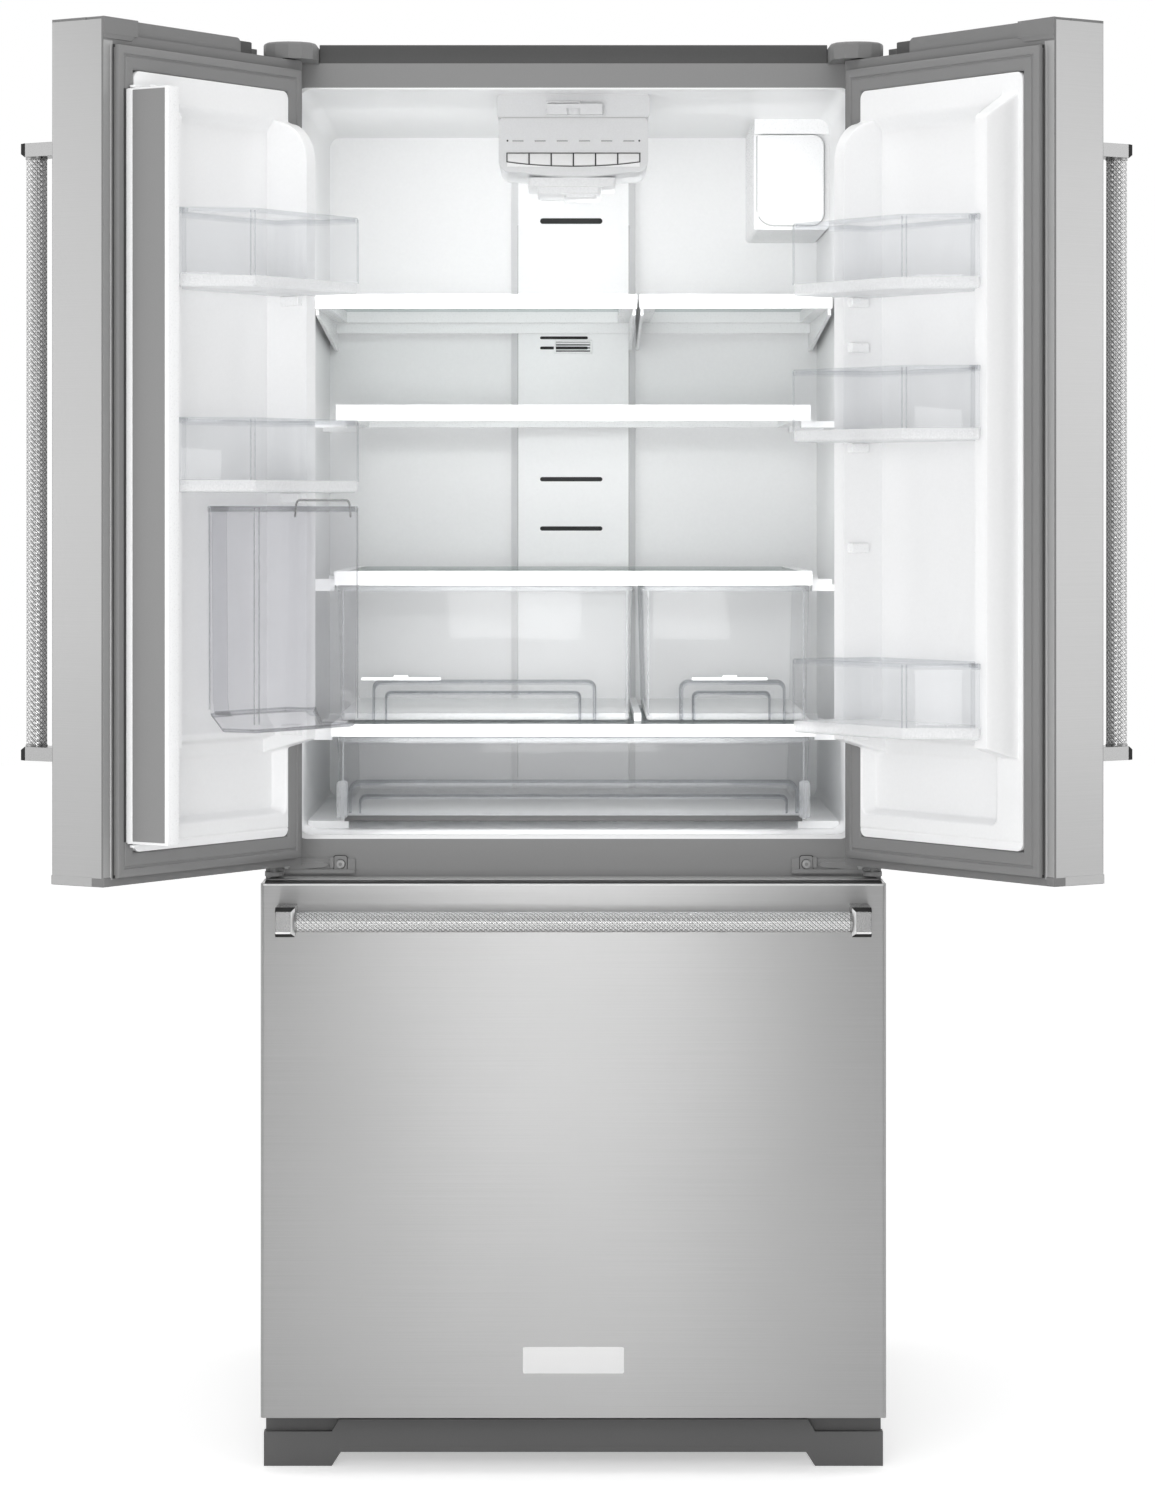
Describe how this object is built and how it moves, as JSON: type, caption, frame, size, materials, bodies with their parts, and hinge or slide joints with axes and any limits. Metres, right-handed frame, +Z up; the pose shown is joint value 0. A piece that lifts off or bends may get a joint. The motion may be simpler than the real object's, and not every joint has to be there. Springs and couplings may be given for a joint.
{
  "type": "french door refrigerator",
  "caption": "French door refrigerator with a bottom freezer drawer, glass shelves, clear drawers and door bins, both doors standing open.",
  "frame": {"origin": "on the floor, below the middle of the bounding box of the part as it stands with both doors open", "axes": "+X to the viewer's right, +Y to the back of the cabinet, +Z up"},
  "size_m": [1.2986, 1.133, 1.739],
  "materials": {
    "stainless": "horizontally brushed stainless steel",
    "handle_steel": "satin posts with knurled bars",
    "cabinet_paint": "satin gray paint",
    "frame_gray": "satin gray paint",
    "dark_steel": "satin dark gray paint",
    "cap_gray": "fine satin",
    "kick_gray": "fine satin",
    "white_liner": "smooth white",
    "white_plastic": "smooth white",
    "frosted_lens": "frosted white",
    "gasket_gray": "soft matt gray",
    "clear_plastic": "clear moulded plastic",
    "smoked_plastic": "gray tinted clear plastic",
    "shelf_pane": "tempered glass",
    "foam": "rigid insulation foam",
    "black_enamel": "semi-gloss black",
    "bare_aluminium": "plain tube and sheet",
    "zinc_steel": "zinc plated",
    "roller_gray": "moulded",
    "blank_badge": "bare polished plate"
  },
  "bodies": {
    "cabinet": {"cabinet_shell": "cabinet_paint", "front_frame": "frame_gray", "cabinet_foam": "foam", "fridge_liner": "white_liner", "freezer_liner": "white_liner", "rear_covers": "zinc_steel", "compressor": "black_enamel", "condenser": "black_enamel", "evaporator": "bare_aluminium", "base_frame": "dark_steel", "leveling_legs": "dark_steel", "kick_plate": "kick_gray", "hinge_covers": "cap_gray", "door_hinges": "dark_steel", "air_tower": "white_plastic", "control_housing": "white_plastic", "lamp_lens": "frosted_lens", "filter_housing": "white_plastic", "upper_shelves": "white_plastic", "middle_shelf": "white_plastic", "crisper_cover": "white_plastic", "pantry_cover": "white_plastic", "shelf_glass": "shelf_pane"},
    "fan_wheel": {"condenser_fan": "roller_gray"},
    "rear_roller_set": {"rear_rollers": "roller_gray"},
    "filter_cover": {"water_filter_cover": "white_plastic"},
    "crisper_left": {"left_crisper": "clear_plastic"},
    "crisper_right": {"right_crisper": "clear_plastic"},
    "pantry": {"pantry_drawer": "smoked_plastic"},
    "door_left": {"left_door_skin": "stainless", "left_door_caps": "cap_gray", "left_door_liner": "white_liner", "left_door_gasket": "gasket_gray", "left_handle": "handle_steel", "left_upper_bin": "clear_plastic", "left_middle_bin": "clear_plastic", "produce_bin": "smoked_plastic"},
    "flipper": {"flipper_mullion": "white_plastic"},
    "door_right": {"right_door_skin": "stainless", "right_door_caps": "cap_gray", "right_door_liner": "white_liner", "right_door_gasket": "gasket_gray", "right_handle": "handle_steel", "right_upper_bin": "clear_plastic", "right_middle_bin": "clear_plastic", "gallon_bin": "clear_plastic"},
    "freezer_drawer": {"drawer_skin": "stainless", "drawer_liner": "white_liner", "drawer_gasket": "gasket_gray", "drawer_handle": "handle_steel", "badge_plate": "blank_badge", "drawer_rails": "zinc_steel", "lower_basket": "white_plastic"},
    "freezer_top_basket": {"upper_basket": "white_plastic"},
    "button_1": {"control_button_1": "white_plastic"},
    "button_2": {"control_button_2": "white_plastic"},
    "button_3": {"control_button_3": "white_plastic"},
    "button_4": {"control_button_4": "white_plastic"},
    "button_5": {"control_button_5": "white_plastic"},
    "button_6": {"control_button_6": "white_plastic"}
  },
  "joints": [
    {"name": "left_door_hinge", "type": "hinge", "parent": "cabinet", "child": "door_left", "pos_m": [-0.365, -0.22853, 0], "axis": [0, 0, -1], "range_deg": [-123.4, 4.4]},
    {"name": "flipper_hinge", "type": "hinge", "parent": "door_left", "child": "flipper", "pos_m": [-0.50613, -0.53231, 0], "axis": [0, 0, 1], "range_deg": [-90, 0]},
    {"name": "right_door_hinge", "type": "hinge", "parent": "cabinet", "child": "door_right", "pos_m": [0.365, -0.22853, 0], "axis": [0, 0, 1], "range_deg": [-125.8, 2]},
    {"name": "freezer_drawer_slide", "type": "slide", "parent": "cabinet", "child": "freezer_drawer", "axis": [0, -1, 0], "range_m": [0, 0.4]},
    {"name": "upper_basket_slide", "type": "slide", "parent": "cabinet", "child": "freezer_top_basket", "axis": [0, -1, 0], "range_m": [0, 0.281]},
    {"name": "pantry_drawer_slide", "type": "slide", "parent": "cabinet", "child": "pantry", "axis": [0, -1, 0], "range_m": [0, 0.32]},
    {"name": "left_crisper_slide", "type": "slide", "parent": "cabinet", "child": "crisper_left", "axis": [0, -1, 0], "range_m": [0, 0.19]},
    {"name": "right_crisper_slide", "type": "slide", "parent": "cabinet", "child": "crisper_right", "axis": [0, -1, 0], "range_m": [0, 0.19]},
    {"name": "filter_cover_hinge", "type": "hinge", "parent": "cabinet", "child": "filter_cover", "pos_m": [0.244, 0.20617, 0], "axis": [0, 0, -1], "range_deg": [0, 90]},
    {"name": "condenser_fan_spin", "type": "hinge", "parent": "cabinet", "child": "fan_wheel", "pos_m": [-0.21, 0.48147, 0.19], "axis": [0, 1, 0], "continuous": true},
    {"name": "rear_roller_spin", "type": "hinge", "parent": "cabinet", "child": "rear_roller_set", "pos_m": [0, 0.49647, 0.024], "axis": [1, 0, 0], "continuous": true},
    {"name": "button_1_press", "type": "slide", "parent": "cabinet", "child": "button_1", "axis": [0, 1, 0], "range_m": [0, 0.001], "stiffness_N_per_m": 300},
    {"name": "button_2_press", "type": "slide", "parent": "cabinet", "child": "button_2", "axis": [0, 1, 0], "range_m": [0, 0.001], "stiffness_N_per_m": 300},
    {"name": "button_3_press", "type": "slide", "parent": "cabinet", "child": "button_3", "axis": [0, 1, 0], "range_m": [0, 0.001], "stiffness_N_per_m": 300},
    {"name": "button_4_press", "type": "slide", "parent": "cabinet", "child": "button_4", "axis": [0, 1, 0], "range_m": [0, 0.001], "stiffness_N_per_m": 300},
    {"name": "button_5_press", "type": "slide", "parent": "cabinet", "child": "button_5", "axis": [0, 1, 0], "range_m": [0, 0.001], "stiffness_N_per_m": 300},
    {"name": "button_6_press", "type": "slide", "parent": "cabinet", "child": "button_6", "axis": [0, 1, 0], "range_m": [0, 0.001], "stiffness_N_per_m": 300}
  ],
  "couplings": [
    {"joint": "upper_basket_slide", "follows": "freezer_drawer_slide", "ratio": 0.7}
  ]
}
